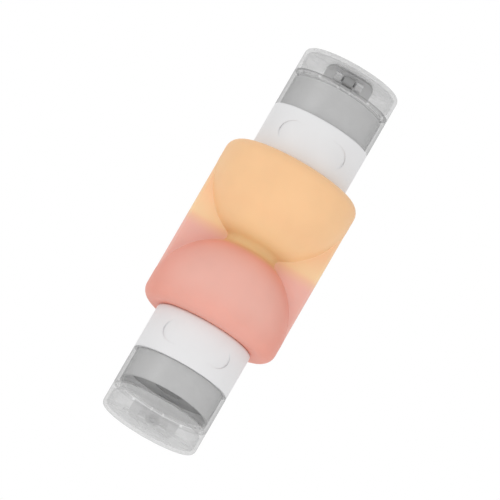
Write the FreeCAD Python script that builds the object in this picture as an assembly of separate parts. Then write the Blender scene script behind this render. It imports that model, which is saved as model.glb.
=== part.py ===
import FreeCAD, Part
import math
import os

# A double ended travel bottle: two silicone bowls stand back to back on a narrow waist, and each
# has a white collar, a clear screw cap and a flip lid of its own.
#
# Millimetres. +Z runs along the bottle. The origin is the centre of the lower lid's flat end.
# Every piece is modelled at the upper end, with height counted from the mid plane between the
# bowls and the hinge on the -Y side. The lower end is the same pieces turned half round about X.

# Silicone bowls and the flat web between them
body_radius = 26.5
waist_radius = 10.0
dome_sink = 0.6
side_height = 2.7
shoulder_radius = 4.6
silicone_wall = 2.0
neck_wall = 2.0
web_thickness = 3.0
web_inset = 0.1
web_edge_round_share = 0.4

# White collar with a shallow finger scoop on its front and its back. The scoop's floor is rounder
# than the collar and stands outside it at the middle, so the scoop only cuts in at its two ends.
collar_radius = 19.0
collar_height = 17.9
collar_wall = 2.8
collar_lip_thickness = 1.5
collar_foot_round = 1.2
collar_top_round = 0.3
scoop_half_width = 13.2
scoop_half_height = 4.6
scoop_centre_height = 8.7
scoop_floor_radius = 17.2
scoop_middle_rise = 0.3
scoop_tilt_degrees = 3

# Threaded neck: the hard tube that spreads the silicone neck against the collar
tube_wall = 1.8
flange_thickness = 1.6
thread_shoulder = 0.9
spigot_height = 4.7
spigot_round = 0.5

# Gasket, screw cap, slit valve and valve retainer. The well's rim slopes down away from the hinge.
gasket_thickness = 1.0
thread_room = 1.0
deck_thickness = 1.8
well_depth = 5.3
rim_drop = 2.3
rim_wall = 1.0
rim_round = 0.3
spout_radius = 5.5
valve_seat_radius = 8.0
valve_seat_depth = 0.9
valve_opening_radius = 4.6
valve_dish_radius = 3.8
valve_dish_depth = 1.1
valve_crown_drop = 0.3
valve_membrane = 0.6
slit_width = 0.2
slit_half_length = 2.6
retainer_inset = 0.2
retainer_thickness = 0.6
retainer_round = 0.3

# Clear cap shell and clear flip lid
shell_wall = 1.35
ledge_thickness = 0.9
register_depth = 0.9
shell_edge_round = 0.25
lid_height = 9.1
lid_wall = 1.2
lid_roof = 1.4
lid_edge_round = 2.0
lid_inner_round = 0.9
lid_foot_height = 1.2
register_wall = 1.0
register_clearance = 0.3
register_lift = 0.3

# Hinge in the lid's pocket
barrel_radius = 1.85
barrel_half_width = 2.0
barrel_lift = 0.5
hinge_inset = 2.2
pin_radius = 0.7
ear_thickness = 0.6
ear_radius = 1.3
lid_knuckle_width = 2.7
knuckle_gap = 0.3
arm_thickness = 2.2
pocket_half_width = 9.3
pocket_back_clearance = 1.1
pocket_roof_clearance = 1.7
pocket_corner_round = 3.0
pocket_wall = 1.0
heel_round = 0.8

# Clearances between pieces
still_fit = 0.05
press_fit = 0.01
running_fit = 0.05
cap_gap = 0.3
seam_gap = 0.2
cut_overrun = 1.0
shortest_edge = 0.000001

# Heights up from the mid plane, each piece standing on the one before
dome_height = body_radius - dome_sink
seat_height = dome_height + side_height + shoulder_radius
collar_top = seat_height + collar_height
collar_lip_bottom = collar_top - collar_lip_thickness
neck_top = collar_lip_bottom - flange_thickness
cap_bottom = collar_top + cap_gap
spigot_top = collar_top + spigot_height
deck_bottom = spigot_top + gasket_thickness
deck_top = deck_bottom + deck_thickness
rim_top = deck_top + well_depth
ledge_top = rim_top + ledge_thickness
shell_top = ledge_top + register_depth
lid_bottom = shell_top + seam_gap
lid_top = lid_bottom + lid_height
hinge_height = shell_top + barrel_lift + barrel_radius
pocket_roof = hinge_height + barrel_radius + pocket_roof_clearance

# Radii, from the collar inwards and from the cap's outside inwards
cap_radius = collar_radius
collar_bore = collar_radius - collar_wall
neck_outer = collar_bore - still_fit
neck_inner = neck_outer - neck_wall
tube_outer = neck_inner - still_fit
tube_bore = tube_outer - tube_wall
spigot_radius = tube_outer + thread_shoulder
skirt_bore = spigot_radius + thread_room
shell_inner = cap_radius - shell_wall
ring_radius = shell_inner - still_fit
well_radius = ring_radius - rim_wall
retainer_radius = well_radius - still_fit
lid_inner = cap_radius - lid_wall
register_outer = shell_inner - register_clearance
register_inner = register_outer - register_wall

# Hinge places along Y, on the front side of the upper cap, and along X from the middle outwards
hinge_y = hinge_inset - cap_radius
pocket_back_y = hinge_y + barrel_radius + pocket_back_clearance
ear_start = barrel_half_width + press_fit
ear_end = ear_start + ear_thickness
lid_knuckle_start = ear_end + knuckle_gap
lid_knuckle_end = lid_knuckle_start + lid_knuckle_width

ORIGIN = FreeCAD.Vector(0, 0, 0)
X_AXIS = FreeCAD.Vector(1, 0, 0)
Y_AXIS = FreeCAD.Vector(0, 1, 0)
Z_AXIS = FreeCAD.Vector(0, 0, 1)


def upright(across, height):
    """A point of an outline in the XZ plane."""
    return FreeCAD.Vector(across, 0, height)


def level(across, along):
    """A point of an outline in the XY plane."""
    return FreeCAD.Vector(across, along, 0)


def rounded_outline(corners):
    """A closed face through (point, round) corners, each corner turned into an arc of its round."""
    runs = []
    for index, (point, corner_round) in enumerate(corners):
        before = corners[index - 1][0]
        after = corners[(index + 1) % len(corners)][0]
        if not corner_round:
            runs.append((point, None, point))
            continue
        back = (before - point).normalize()
        onward = (after - point).normalize()
        half_angle = back.getAngle(onward) / 2
        inward = (back + onward).normalize()
        tangent_length = corner_round / math.tan(half_angle)
        middle_length = corner_round / math.sin(half_angle) - corner_round
        arc_middle = point + inward * middle_length
        runs.append((point + back * tangent_length, arc_middle, point + onward * tangent_length))
    edges = []
    for index, (start, arc_middle, end) in enumerate(runs):
        last_end = runs[index - 1][2]
        if last_end.distanceToPoint(start) > shortest_edge:
            edges.append(Part.makeLine(last_end, start))
        if arc_middle:
            edges.append(Part.Arc(start, arc_middle, end).toShape())
    return Part.Face(Part.Wire(edges))


def turned(corners):
    """A solid of revolution about Z from (radius, height, round) corners."""
    outline = rounded_outline([(upright(radius, height), round_) for radius, height, round_ in corners])
    return outline.revolve(ORIGIN, Z_AXIS, 360)


def block(low_x, high_x, low_y, high_y, low_z, high_z):
    """A square cornered block between two limits on each axis."""
    corner = FreeCAD.Vector(low_x, low_y, low_z)
    return Part.makeBox(high_x - low_x, high_y - low_y, high_z - low_z, corner)


def rod(radius, low_x, high_x):
    """A round rod along the hinge's axis."""
    start = FreeCAD.Vector(low_x, hinge_y, hinge_height)
    return Part.makeCylinder(radius, high_x - low_x, start, X_AXIS)


def bowl_outside():
    """The bowl, its half of the waist, its shoulder and its neck, all solid."""
    # The waist's arc touches both domes and has its centre on the mid plane
    outside_dome = waist_radius ** 2 + dome_height ** 2 - body_radius ** 2
    waist_arc_radius = outside_dome / (2 * (body_radius - waist_radius))
    waist_arc_centre = upright(waist_radius + waist_arc_radius, 0)
    dome_centre = upright(0, dome_height)
    towards_waist = (waist_arc_centre - dome_centre).normalize()
    waist_start = upright(waist_radius, 0)
    waist_end = dome_centre + towards_waist * body_radius
    to_middle = (waist_start - waist_arc_centre).normalize() + (waist_end - waist_arc_centre).normalize()
    waist_middle = waist_arc_centre + to_middle.normalize() * waist_arc_radius
    equator = upright(body_radius, dome_height)
    to_dome_middle = (towards_waist + X_AXIS).normalize()
    dome_middle = dome_centre + to_dome_middle * body_radius
    shoulder_start = upright(body_radius, dome_height + side_height)
    shoulder_end = upright(body_radius - shoulder_radius, seat_height)
    shoulder_middle = upright(
        body_radius - shoulder_radius + shoulder_radius * math.cos(math.pi / 4),
        dome_height + side_height + shoulder_radius * math.sin(math.pi / 4),
    )
    neck_corner = upright(neck_outer, seat_height)
    neck_edge = upright(neck_outer, neck_top)
    neck_middle = upright(0, neck_top)
    edges = [
        Part.makeLine(ORIGIN, waist_start),
        Part.Arc(waist_start, waist_middle, waist_end).toShape(),
        Part.Arc(waist_end, dome_middle, equator).toShape(),
        Part.makeLine(equator, shoulder_start),
        Part.Arc(shoulder_start, shoulder_middle, shoulder_end).toShape(),
        Part.makeLine(shoulder_end, neck_corner),
        Part.makeLine(neck_corner, neck_edge),
        Part.makeLine(neck_edge, neck_middle),
        Part.makeLine(neck_middle, ORIGIN),
    ]
    return Part.Face(Part.Wire(edges)).revolve(ORIGIN, Z_AXIS, 360)


def bowl_cavity():
    """The space inside a bowl, open through its neck."""
    inner_radius = body_radius - silicone_wall
    inner_top = seat_height - silicone_wall
    inner_shoulder = shoulder_radius - silicone_wall
    dome_centre = upright(0, dome_height)
    floor = upright(0, dome_height - inner_radius)
    equator = upright(inner_radius, dome_height)
    to_dome_middle = (X_AXIS - Z_AXIS).normalize()
    dome_middle = dome_centre + to_dome_middle * inner_radius
    dome = Part.Face(Part.Wire([
        Part.Arc(floor, dome_middle, equator).toShape(),
        Part.makeLine(equator, dome_centre),
        Part.makeLine(dome_centre, floor),
    ])).revolve(ORIGIN, Z_AXIS, 360)
    upper_part = turned([
        (0, dome_height, 0),
        (inner_radius, dome_height, 0),
        (inner_radius, inner_top, inner_shoulder),
        (neck_inner, inner_top, 0),
        (neck_inner, neck_top + cut_overrun, 0),
        (0, neck_top + cut_overrun, 0),
    ])
    return dome.fuse(upper_part)


def chamber():
    """One silicone bowl with its half of the web that fills the waist out to straight sides."""
    reach = body_radius - web_inset
    half_web = web_thickness / 2
    edge_round = web_thickness * web_edge_round_share
    web_section = rounded_outline([
        (level(-reach, -half_web), edge_round),
        (level(reach, -half_web), edge_round),
        (level(reach, half_web), edge_round),
        (level(-reach, half_web), edge_round),
    ])
    web = web_section.extrude(Z_AXIS * dome_height)
    return bowl_outside().fuse(web).cut(bowl_cavity())


def finger_scoop():
    """The slivers cut off the collar's front: the two ends of a long rounded patch."""
    middle_height = seat_height + scoop_centre_height
    patch_front = -collar_radius - cut_overrun
    patch_depth = collar_radius + cut_overrun - scoop_half_height
    low = middle_height - scoop_half_height
    high = middle_height + scoop_half_height
    patch = rounded_outline([
        (FreeCAD.Vector(-scoop_half_width, patch_front, low), scoop_half_height),
        (FreeCAD.Vector(scoop_half_width, patch_front, low), scoop_half_height),
        (FreeCAD.Vector(scoop_half_width, patch_front, high), scoop_half_height),
        (FreeCAD.Vector(-scoop_half_width, patch_front, high), scoop_half_height),
    ]).extrude(Y_AXIS * patch_depth)
    floor_front = -collar_radius - scoop_middle_rise
    floor_y = floor_front + scoop_floor_radius
    floor_start = FreeCAD.Vector(0, floor_y, middle_height - collar_height)
    floor = Part.makeCylinder(scoop_floor_radius, 2 * collar_height, floor_start, Z_AXIS)
    front_line = FreeCAD.Vector(0, floor_front, middle_height)
    floor.rotate(front_line, X_AXIS, -scoop_tilt_degrees)
    return patch.cut(floor)


def collar():
    """White collar that clamps the silicone neck, with a lip over the threaded neck's flange."""
    ring = turned([
        (collar_bore, seat_height, 0),
        (collar_radius, seat_height, collar_foot_round),
        (collar_radius, collar_top, collar_top_round),
        (spigot_radius + still_fit, collar_top, 0),
        (spigot_radius + still_fit, collar_lip_bottom, 0),
        (collar_bore, collar_lip_bottom, 0),
    ])
    front_scoop = finger_scoop()
    back_scoop = finger_scoop()
    back_scoop.rotate(ORIGIN, Z_AXIS, 180)
    return ring.cut(front_scoop).cut(back_scoop)


def threaded_neck():
    """Hard tube in the silicone neck, flanged under the collar's lip and rising as the spigot."""
    return turned([
        (tube_bore, seat_height - silicone_wall, 0),
        (tube_outer, seat_height - silicone_wall, 0),
        (tube_outer, neck_top, 0),
        (neck_outer, neck_top, 0),
        (neck_outer, collar_lip_bottom, 0),
        (spigot_radius, collar_lip_bottom, 0),
        (spigot_radius, spigot_top, spigot_round),
        (tube_bore, spigot_top, 0),
    ])


def gasket():
    """Flat sealing ring between the spigot's end and the screw cap's deck."""
    return turned([
        (tube_bore, spigot_top, 0),
        (spigot_radius, spigot_top, 0),
        (spigot_radius, deck_bottom, 0),
        (tube_bore, deck_bottom, 0),
    ])


def rim_slope():
    """The wedge that lowers the well's rim from the hinge side to the pouring side."""
    outline = rounded_outline([
        (FreeCAD.Vector(-cap_radius, -ring_radius, rim_top), 0),
        (FreeCAD.Vector(-cap_radius, ring_radius, rim_top - rim_drop), 0),
        (FreeCAD.Vector(-cap_radius, ring_radius, rim_top), 0),
    ])
    return outline.extrude(X_AXIS * 2 * cap_radius)


def screw_cap():
    """Grey inner cap: skirt over the spigot, deck with the spout hole, and a sloped rim above it."""
    valve_ledge = deck_top - valve_seat_depth
    cap = turned([
        (skirt_bore, cap_bottom, 0),
        (ring_radius, cap_bottom, 0),
        (ring_radius, rim_top, rim_round),
        (well_radius, rim_top, rim_round),
        (well_radius, deck_top, 0),
        (valve_seat_radius, deck_top, 0),
        (valve_seat_radius, valve_ledge, 0),
        (spout_radius, valve_ledge, 0),
        (spout_radius, deck_bottom, 0),
        (skirt_bore, deck_bottom, 0),
    ])
    return cap.cut(rim_slope())


def valve():
    """Silicone valve: a flange in the deck's seat and a dished membrane with a cross slit."""
    valve_ledge = deck_top - valve_seat_depth
    dish_top = deck_top - valve_dish_depth
    crown_top = dish_top - valve_crown_drop
    body = turned([
        (0, crown_top - valve_membrane, 0),
        (spout_radius - still_fit, dish_top - valve_membrane, 0),
        (spout_radius - still_fit, valve_ledge, 0),
        (valve_seat_radius - still_fit, valve_ledge, 0),
        (valve_seat_radius - still_fit, deck_top, 0),
        (valve_opening_radius, deck_top, 0),
        (valve_dish_radius, dish_top, 0),
        (0, crown_top, 0),
    ])
    low = crown_top - valve_membrane - cut_overrun
    half_slit = slit_width / 2
    long_slit = block(-slit_half_length, slit_half_length, -half_slit, half_slit, low, deck_top)
    cross_slit = block(-half_slit, half_slit, -slit_half_length, slit_half_length, low, deck_top)
    return body.cut(long_slit.fuse(cross_slit))


def valve_retainer():
    """Flat ring that covers the deck and holds the valve's flange down."""
    retainer_top = deck_top + retainer_thickness
    return turned([
        (spout_radius - retainer_inset, deck_top, 0),
        (retainer_radius, deck_top, 0),
        (retainer_radius, retainer_top, retainer_round),
        (spout_radius - retainer_inset, retainer_top, retainer_round),
    ])


def cap_shell():
    """Clear sleeve over the screw cap, with a ledge on its rim and two ears that hold the hinge pin."""
    sleeve = turned([
        (shell_inner, cap_bottom, 0),
        (cap_radius, cap_bottom, shell_edge_round),
        (cap_radius, shell_top, shell_edge_round),
        (shell_inner, shell_top, 0),
        (shell_inner, ledge_top, 0),
        (well_radius, ledge_top, 0),
        (well_radius, rim_top, 0),
        (shell_inner, rim_top, 0),
    ])
    for low_x, high_x in ((-ear_end, -ear_start), (ear_start, ear_end)):
        stem = block(
            low_x, high_x,
            hinge_y - ear_radius, hinge_y + ear_radius,
            rim_top, hinge_height,
        )
        sleeve = sleeve.fuse(stem.fuse(rod(ear_radius, low_x, high_x)))
    return sleeve.cut(rod(pin_radius + press_fit, -ear_end - cut_overrun, ear_end + cut_overrun))


def pocket_block(half_width, roof, corner_round, low, back_y):
    """A block open to the front, with round upper corners, from outside the lid to its back."""
    front_y = -cap_radius - cut_overrun
    section = rounded_outline([
        (FreeCAD.Vector(-half_width, front_y, low), 0),
        (FreeCAD.Vector(half_width, front_y, low), 0),
        (FreeCAD.Vector(half_width, front_y, roof), corner_round),
        (FreeCAD.Vector(-half_width, front_y, roof), corner_round),
    ])
    return section.extrude(Y_AXIS * (back_y - front_y))


def lid_knuckle(side):
    """A barrel of the lid's hinge with the arm that carries it from the pocket's back."""
    near_x = side * lid_knuckle_start
    far_x = side * lid_knuckle_end
    low_x = min(near_x, far_x)
    high_x = max(near_x, far_x)
    arm_bottom = hinge_height + barrel_radius - arm_thickness
    arm = block(
        low_x, high_x,
        hinge_y, pocket_back_y + pocket_wall / 2,
        arm_bottom, hinge_height + barrel_radius,
    )
    return arm.fuse(rod(barrel_radius, low_x, high_x))


def flip_lid():
    """Clear lid: a round cup with a register rim below it and a pocket for the hinge in front."""
    register_bottom = ledge_top + register_lift
    foot_top = lid_bottom + lid_foot_height
    slope_top = foot_top + lid_inner - register_inner
    roof_bottom = lid_top - lid_roof
    cup = turned([
        (register_inner, register_bottom, 0),
        (register_outer, register_bottom, 0),
        (register_outer, lid_bottom, 0),
        (cap_radius, lid_bottom, shell_edge_round),
        (cap_radius, lid_top, lid_edge_round),
        (0, lid_top, 0),
        (0, roof_bottom, 0),
        (lid_inner, roof_bottom, lid_inner_round),
        (lid_inner, slope_top, 0),
        (register_inner, foot_top, 0),
    ])
    envelope = turned([
        (0, lid_bottom, 0),
        (cap_radius, lid_bottom, shell_edge_round),
        (cap_radius, lid_top, lid_edge_round),
        (0, lid_top, 0),
    ])
    pocket_outside = pocket_block(
        pocket_half_width + pocket_wall,
        pocket_roof + pocket_wall,
        pocket_corner_round + pocket_wall,
        lid_bottom,
        pocket_back_y + pocket_wall,
    ).common(envelope)
    pocket_inside = pocket_block(
        pocket_half_width,
        pocket_roof,
        pocket_corner_round,
        register_bottom - cut_overrun,
        pocket_back_y,
    )
    register_gap = block(
        -pocket_half_width - pocket_wall, pocket_half_width + pocket_wall,
        -cap_radius, 0,
        register_bottom - cut_overrun, lid_bottom,
    )
    heel = heel_relief()
    lid = cup.fuse(pocket_outside).cut(pocket_inside.fuse(register_gap)).cut(heel)
    for side in (-1, 1):
        lid = lid.fuse(lid_knuckle(side))
    bore_end = lid_knuckle_end + cut_overrun
    return lid.cut(rod(pin_radius + running_fit, -bore_end, bore_end))


def heel_relief():
    """The strip taken off the pocket's upper front edge, so that the open lid clears the shell."""
    edge = FreeCAD.Vector(0, -cap_radius, pocket_roof)
    strip = block(
        -pocket_half_width, pocket_half_width,
        -heel_round, heel_round,
        -heel_round, heel_round,
    )
    strip.rotate(ORIGIN, X_AXIS, 45)
    strip.translate(edge)
    return strip


def hinge_pin():
    """Pin through the sleeve's ears, the bush and the lid's knuckles, tight in all but the knuckles."""
    return rod(pin_radius, -lid_knuckle_end, lid_knuckle_end)


def hinge_bush():
    """Thick bush on the pin between the sleeve's ears."""
    bush = rod(barrel_radius, -barrel_half_width, barrel_half_width)
    return bush.cut(rod(pin_radius + press_fit, -ear_end, ear_end))


PIECES = {
    "chamber": chamber,
    "collar": collar,
    "threaded_neck": threaded_neck,
    "gasket": gasket,
    "screw_cap": screw_cap,
    "valve": valve,
    "valve_retainer": valve_retainer,
    "cap_shell": cap_shell,
    "flip_lid": flip_lid,
    "hinge_pin": hinge_pin,
    "hinge_bush": hinge_bush,
}


def main():
    os.makedirs("parts", exist_ok=True)
    for name, make_piece in PIECES.items():
        for end, turn_degrees in (("upper", 0), ("lower", 180)):
            piece = make_piece().removeSplitter()
            piece.rotate(ORIGIN, X_AXIS, turn_degrees)
            piece.translate(Z_AXIS * lid_top)
            piece.exportStep("parts/" + end + "_" + name + ".step")
            print(end, name, len(piece.Solids), piece.isValid(), round(piece.Volume))


main()
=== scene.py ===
"""Looks of a double ended travel bottle: soft silicone bowls, white collars and clear flip lid caps.

Every piece is shaped at the upper end, in metres, with height counted from the mid plane between
the bowls and the hinge on the -Y side. The lower end's pieces are turned half round about X.
"""
import math

import bmesh
import bpy
import numpy as np
from bpy.props import FloatProperty, FloatVectorProperty, PointerProperty
from mathutils import Matrix, Vector


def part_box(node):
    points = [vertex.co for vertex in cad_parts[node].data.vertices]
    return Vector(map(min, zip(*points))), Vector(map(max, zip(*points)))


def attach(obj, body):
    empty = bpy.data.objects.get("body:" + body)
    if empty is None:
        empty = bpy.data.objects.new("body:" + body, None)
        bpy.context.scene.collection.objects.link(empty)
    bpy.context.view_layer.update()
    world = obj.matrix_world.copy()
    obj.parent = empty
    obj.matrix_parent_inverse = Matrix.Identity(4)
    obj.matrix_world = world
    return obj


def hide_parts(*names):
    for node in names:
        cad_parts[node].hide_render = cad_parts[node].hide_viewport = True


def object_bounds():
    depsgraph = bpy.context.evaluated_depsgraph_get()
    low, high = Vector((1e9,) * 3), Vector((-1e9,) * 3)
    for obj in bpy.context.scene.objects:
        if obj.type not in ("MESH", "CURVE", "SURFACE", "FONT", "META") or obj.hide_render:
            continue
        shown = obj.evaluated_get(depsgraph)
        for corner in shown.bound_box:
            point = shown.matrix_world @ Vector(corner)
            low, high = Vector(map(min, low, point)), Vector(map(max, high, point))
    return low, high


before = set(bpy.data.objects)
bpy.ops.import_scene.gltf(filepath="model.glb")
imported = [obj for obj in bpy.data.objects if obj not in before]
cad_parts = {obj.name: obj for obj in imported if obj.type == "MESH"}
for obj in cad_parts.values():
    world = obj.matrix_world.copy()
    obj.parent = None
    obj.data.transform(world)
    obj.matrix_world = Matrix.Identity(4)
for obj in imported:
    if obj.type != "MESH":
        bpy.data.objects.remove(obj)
CAD_LOW, CAD_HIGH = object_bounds()

bl_info = {
    "name": "Double ended travel bottle",
    "version": (1, 0, 0),
    "blender": (4, 5, 0),
    "location": "View3D > Sidebar > Bottle",
    "description": "Dresses the packed travel bottle with its silicone, plastics and stage",
    "category": "Object",
}

MM = 0.001
MIDDLE = (CAD_LOW.z + CAD_HIGH.z) / 2
ENDS = ("upper", "lower")
UP = Vector((0.0, 0.0, 1.0))
WHITE = (1.0, 1.0, 1.0, 1.0)

# Steps round whole turns
LATHE_STEPS = 192
SMALL_STEPS = 96
THREAD_STEPS = 72
BUSH_STEPS = 64
ROD_STEPS = 48

# Steps of arcs
ARC_STEPS = 6
SOFT_ARC_STEPS = 4
PIN_ARC_STEPS = 3
POCKET_STEPS = 8
SCOOP_STEPS = 12
WAIST_STEPS = 8
DOME_STEPS = 36
SHOULDER_STEPS = 10
HOLLOW_STEPS = 24
WEB_TIP_STEPS = 10
WEB_FLANK_STEPS = 26

# Halvings that find the web's outline
WEB_HALVINGS = 48
# Part of the waist's radius where the web's flank ends inside it
INSIDE_WAIST = 0.8

# Angle between faces that shows as an edge, radius of a point on the axis, and slack in picking faces
# on a flat and on a round
CREASE = math.radians(32.0)
ON_AXIS = 0.001 * MM
SLACK = 0.05 * MM
ROUND_SLACK = 0.2 * MM

# Which of across, up and along make up a point of a prism along each axis
PRISM_ORDER = {"X": (2, 0, 1), "Y": (0, 2, 1), "Z": (0, 1, 2)}

# Rounds of small edges
TIGHT_ROUND = 0.15 * MM
FINE_ROUND = 0.2 * MM
SMALL_ROUND = 0.3 * MM
WELL_ROUND = 0.4 * MM
WIDE_ROUND = 0.5 * MM

# Thread ridges: half widths as shares of the lead, fade at both ends, and how deep the foot is sunk
ROOT_SHARE = 0.3
CREST_SHARE = 0.1
FADE_RATE = 8.0
FADE_LEAST = 0.02
THREAD_SINK = 0.1 * MM
CAP_THREAD_SHARE = 0.8

# Slit valve: width of its dish's floor against its top, and the ring's reach over its edge
DISH_FLOOR_SHARE = 0.83
RING_OVERHANG = 0.2 * MM

# Values between which most of a noise lies
NOISE_SPAN = (0.3, 0.7)

# Silicone: strength of each painted light and shade
WEB_PAINTED_LIGHT = 0.1
WAIST_PAINTED_GLOW = 0.2
WAIST_CREASE_SHADE = 0.29
SHOULDER_HIGHLIGHT = 0.55

# Silicone: where the colours and the painted light and shade change, in parts of the web's thickness,
# the bowls' widest height, the body's radius and the orange's overlap, and in real lengths above the waist
WEB_SIDE = (0.52, 0.6)
WEB_END = (0.7, 0.95)
HIGHLIGHT_DEPTH = (0.3, 0.9)
HIGHLIGHT_HEIGHT = (0.8, 1.2)
CREASE_SHADE_HEIGHT = (0.4, 2.4)
PAINTED_GLOW_SPAN = (3.0 * MM, 12.0 * MM)
CREASE_SPAN = (0.5 * MM, 3.0 * MM)

# Clear plastic: how fast it darkens and mirrors towards a slant, and its mirror share face on
SLANT_POWER = 3.0
MIRROR_POWER = 5.0
MIRROR_LEAST = 0.04

# Floor and lamps, in heights of the bottle, the ways from the bottle to the lamps, and the parts of
# the floor's reach where it fades
FLOOR_REACH = 20.0
LAMP_REACH = 8.0
LAMP_BREADTH = 4.8
LAMP_WAYS = {"key": (0.42, -0.88, -0.42), "low": (0.08, -0.55, -0.8), "fill": (-0.75, -0.64, 0.28)}
FLOOR_FADE = (0.25, 0.8)
FLOOR_DROP = 0.3 * MM

# The photograph's side and where the bottle's middle lies in it, in pixels
PICTURE_PIXELS = 500
BOTTLE_PIXEL = (250.5, 251.35)

# The camera's sensor in millimetres, and how far its sight reaches nearer and farther than the bottle
SENSOR_WIDTH = 36.0
CLIP_SPAN = 10.0


def top_of(node):
    """Height of a node's upper side above the mid plane."""
    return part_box(node)[1].z - MIDDLE


def foot_of(node):
    """Height of a node's lower side above the mid plane."""
    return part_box(node)[0].z - MIDDLE


def reach_of(node):
    """Half width of a node across X."""
    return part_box(node)[1].x


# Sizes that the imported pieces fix
BODY_RADIUS = reach_of("upper_chamber")
SEAT = foot_of("upper_collar")
NECK_TOP = top_of("upper_chamber")
COLLAR_RADIUS = reach_of("upper_collar")
COLLAR_TOP = top_of("upper_collar")
NECK_FOOT = foot_of("upper_threaded_neck")
NECK_OUTER = reach_of("upper_threaded_neck")
SPIGOT_TOP = top_of("upper_threaded_neck")
SPIGOT_RADIUS = reach_of("upper_gasket")
DECK_BOTTOM = top_of("upper_gasket")
DECK_TOP = foot_of("upper_valve_retainer")
RETAINER_TOP = top_of("upper_valve_retainer")
RETAINER_RADIUS = reach_of("upper_valve_retainer")
VALVE_RADIUS = reach_of("upper_valve")
VALVE_FOOT = foot_of("upper_valve")
RING_RADIUS = reach_of("upper_screw_cap")
RIM_TOP = top_of("upper_screw_cap")
CAP_RADIUS = reach_of("upper_cap_shell")
LID_FOOT = foot_of("upper_flip_lid")
LID_TOP = top_of("upper_flip_lid")
PIN_END = reach_of("upper_hinge_pin")
PIN_LOW, PIN_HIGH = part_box("upper_hinge_pin")
PIN_RADIUS = (PIN_HIGH.z - PIN_LOW.z) / 2
HINGE_Y = (PIN_LOW.y + PIN_HIGH.y) / 2
HINGE_HEIGHT = (PIN_LOW.z + PIN_HIGH.z) / 2 - MIDDLE
BARREL_RADIUS = top_of("upper_hinge_bush") - HINGE_HEIGHT
BARREL_END = reach_of("upper_hinge_bush")


def hex_to_linear(code):
    """Linear colour from an sRGB hex code such as "#ffcc99"."""
    channels = []
    for start in (1, 3, 5):
        share = int(code[start:start + 2], 16) / 255.0
        dark = share / 12.92
        light = ((share + 0.055) / 1.055) ** 2.4
        channels.append(dark if share <= 0.04045 else light)
    return tuple(channels)


def size(name, millimetres, description):
    """A length that a user can change, stored in metres."""
    return FloatProperty(
        name=name, description=description, default=millimetres * MM, min=0.0, unit="LENGTH", precision=5
    )


def angle(name, degrees, description):
    """An angle that a user can change, stored in radians."""
    return FloatProperty(
        name=name, description=description, default=math.radians(degrees), subtype="ANGLE"
    )


def power(name, watts, description):
    """A lamp's power that a user can change."""
    return FloatProperty(name=name, description=description, default=watts, unit="POWER")


def colour(name, code, description):
    """A colour that a user can change."""
    return FloatVectorProperty(
        name=name, description=description, default=hex_to_linear(code), size=3, min=0.0, max=1.0,
        subtype="COLOR",
    )


class BottleSizes(bpy.types.PropertyGroup):
    """Sizes of the silicone body, the collars and the necks"""

    waist_radius: size("Waist radius", 10.0, "Radius of the narrow waist between the bowls")
    dome_sink: size("Dome sink", 0.6, "How far each bowl's round reaches past the mid plane")
    shoulder_radius: size("Shoulder radius", 4.6, "Round of a bowl's shoulder")
    silicone_wall: size("Silicone wall", 2.0, "Thickness of a bowl's wall")
    web_thickness: size("Web thickness", 3.0, "Thickness of the flat web beside the waist")
    web_inset: size("Web inset", 0.1, "How far the web's edge lies inside the bowls' outline")
    web_edge_round: size("Web edge round", 1.2, "Round of the web's long edges")
    web_fillet: size("Web fillet", 0.4, "Fillet where the web runs into a bowl")
    web_blend: size("Web blend", 3.2, "Height over which the web's two colours run together")
    bowl_blend: size("Bowl blend", 2.0, "Height over which the bowls' colours run together")
    orange_overlap: size("Orange overlap", 2.1, "How far the orange reaches past the waist")
    neck_wall: size("Neck wall", 2.0, "Thickness of the soft neck")
    fit: size("Fit", 0.05, "Gap between pieces that sit in one another")
    collar_wall: size("Collar wall", 2.8, "Thickness of a collar's wall")
    collar_foot_round: size("Collar foot round", 1.2, "Round of a collar's edge beside the bowl")
    collar_top_round: size("Collar top round", 0.3, "Round of a collar's edge beside the cap")
    collar_lip: size("Collar lip", 1.5, "Thickness of the lip over the neck's flange")
    scoop_half_width: size("Scoop half width", 13.2, "Half the width of a collar's finger scoop")
    scoop_half_height: size("Scoop half height", 4.6, "Half the height of a finger scoop")
    scoop_height: size("Scoop height", 8.7, "Height of a scoop's middle above the collar's foot")
    scoop_floor_radius: size("Scoop floor radius", 17.2, "Curve of a scoop's floor")
    scoop_rise: size("Scoop rise", 0.3, "How far a scoop's floor stands proud at its middle")
    scoop_tilt: angle("Scoop tilt", 3.0, "Tilt of a scoop's floor, deeper beside the cap")
    tube_wall: size("Neck tube wall", 1.8, "Thickness of the hard neck tube")
    thread_lead: size("Thread lead", 3.2, "Rise of the screw thread in a turn")
    thread_depth: size("Thread depth", 0.65, "Height of the thread's ridge")


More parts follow.
